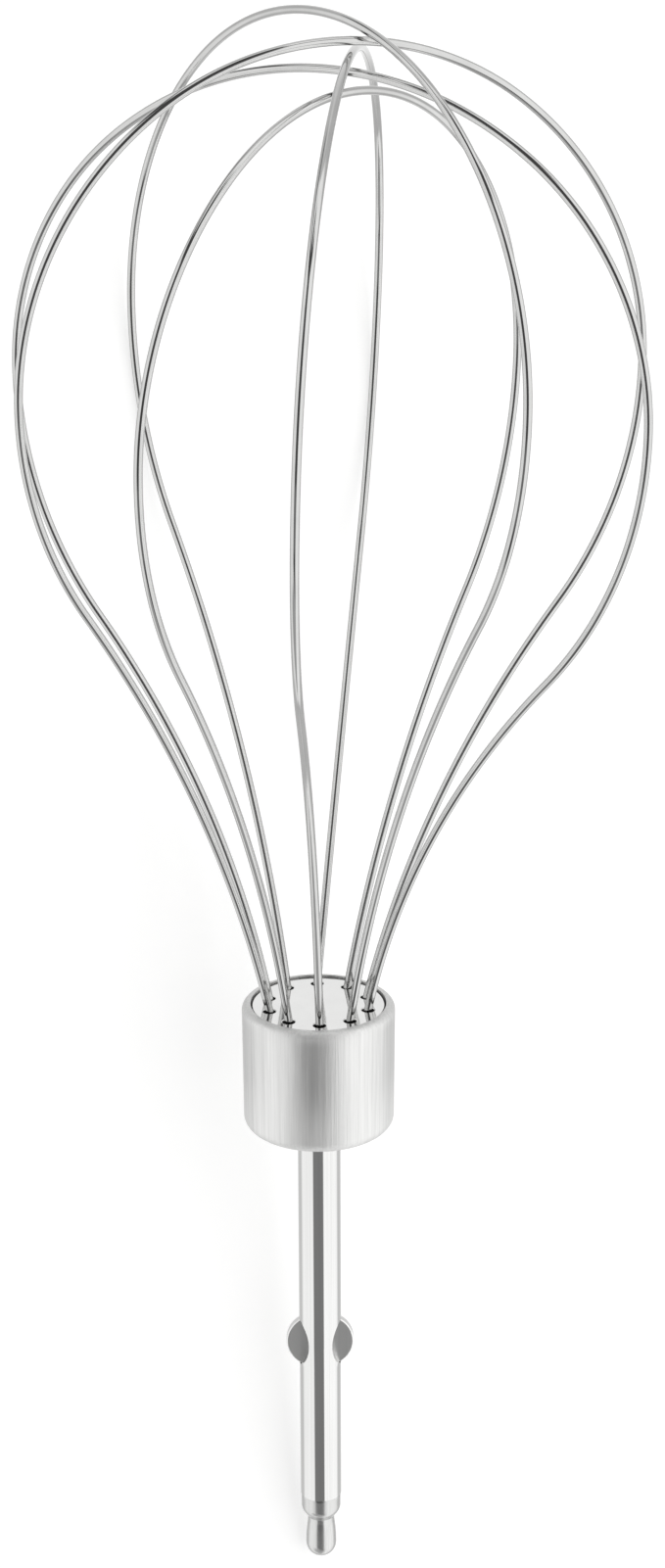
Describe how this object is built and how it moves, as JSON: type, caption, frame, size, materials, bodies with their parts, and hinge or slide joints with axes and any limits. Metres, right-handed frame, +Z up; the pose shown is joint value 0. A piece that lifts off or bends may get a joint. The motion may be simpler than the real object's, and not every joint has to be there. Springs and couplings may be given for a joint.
{
  "type": "hand mixer whisk",
  "caption": "Balloon whisk for a hand mixer: bent steel wire loops held by a perforated disc in a brushed collar, on a polished drive shaft with pinched ears and a ball tip.",
  "frame": {"origin": "centre of the bounding box's bottom face, on the surface that the whisk lies on", "axes": "+Y along the whisk as it lies, from the drive tip to the balloon; +Z up from the surface; +X to the right"},
  "size_m": [0.0924, 0.2426, 0.0964],
  "materials": {
    "wire": "drawn and polished stainless wire",
    "disc": "bright polished stainless sheet",
    "collar": "stainless, brushed along the axis",
    "core": "plain dark moulded plastic",
    "shaft": "polished steel"
  },
  "bodies": {
    "root": {"wire_loop_1": "wire", "wire_loop_2": "wire", "wire_loop_3": "wire", "wire_loop_4": "wire", "wire_loop_5": "wire", "wire_disc": "disc", "collar": "collar", "wire_core": "core", "shaft": "shaft"}
  },
  "joints": []
}
